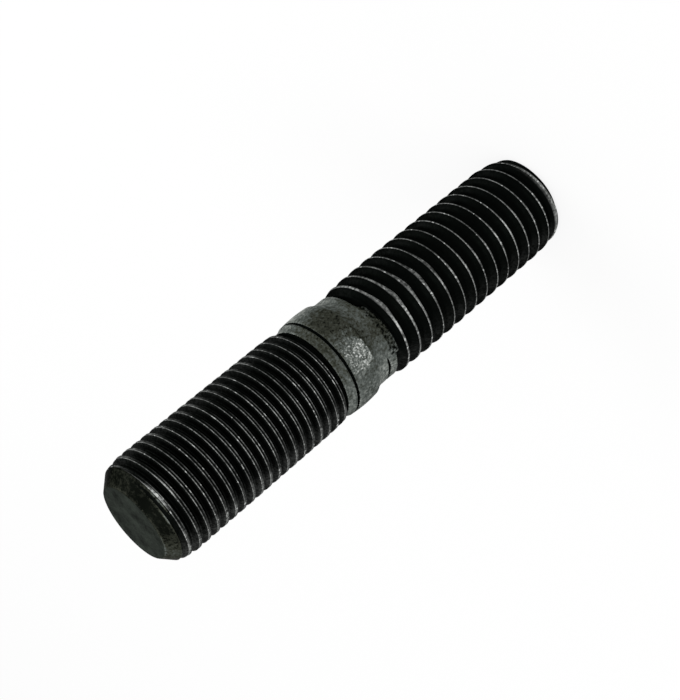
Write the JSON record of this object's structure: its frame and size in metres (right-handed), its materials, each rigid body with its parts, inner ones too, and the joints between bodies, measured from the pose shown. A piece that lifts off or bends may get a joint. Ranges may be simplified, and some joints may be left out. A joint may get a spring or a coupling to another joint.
{
  "type": "double ended stud",
  "caption": "Double ended steel stud with a coarse thread at one end, a fine thread at the other and a short plain collar and neck between them.",
  "frame": {"origin": "centre of the coarse end face, on which the stud stands", "axes": "+Z along the axis from the coarse end to the fine end, +X and +Y across it"},
  "size_m": [0.0126, 0.0126, 0.0635],
  "materials": {
    "black_steel": "black oxide, oiled, worn to grey on the crests and the collar"
  },
  "bodies": {
    "root": {"stud": "black_steel"}
  },
  "joints": []
}
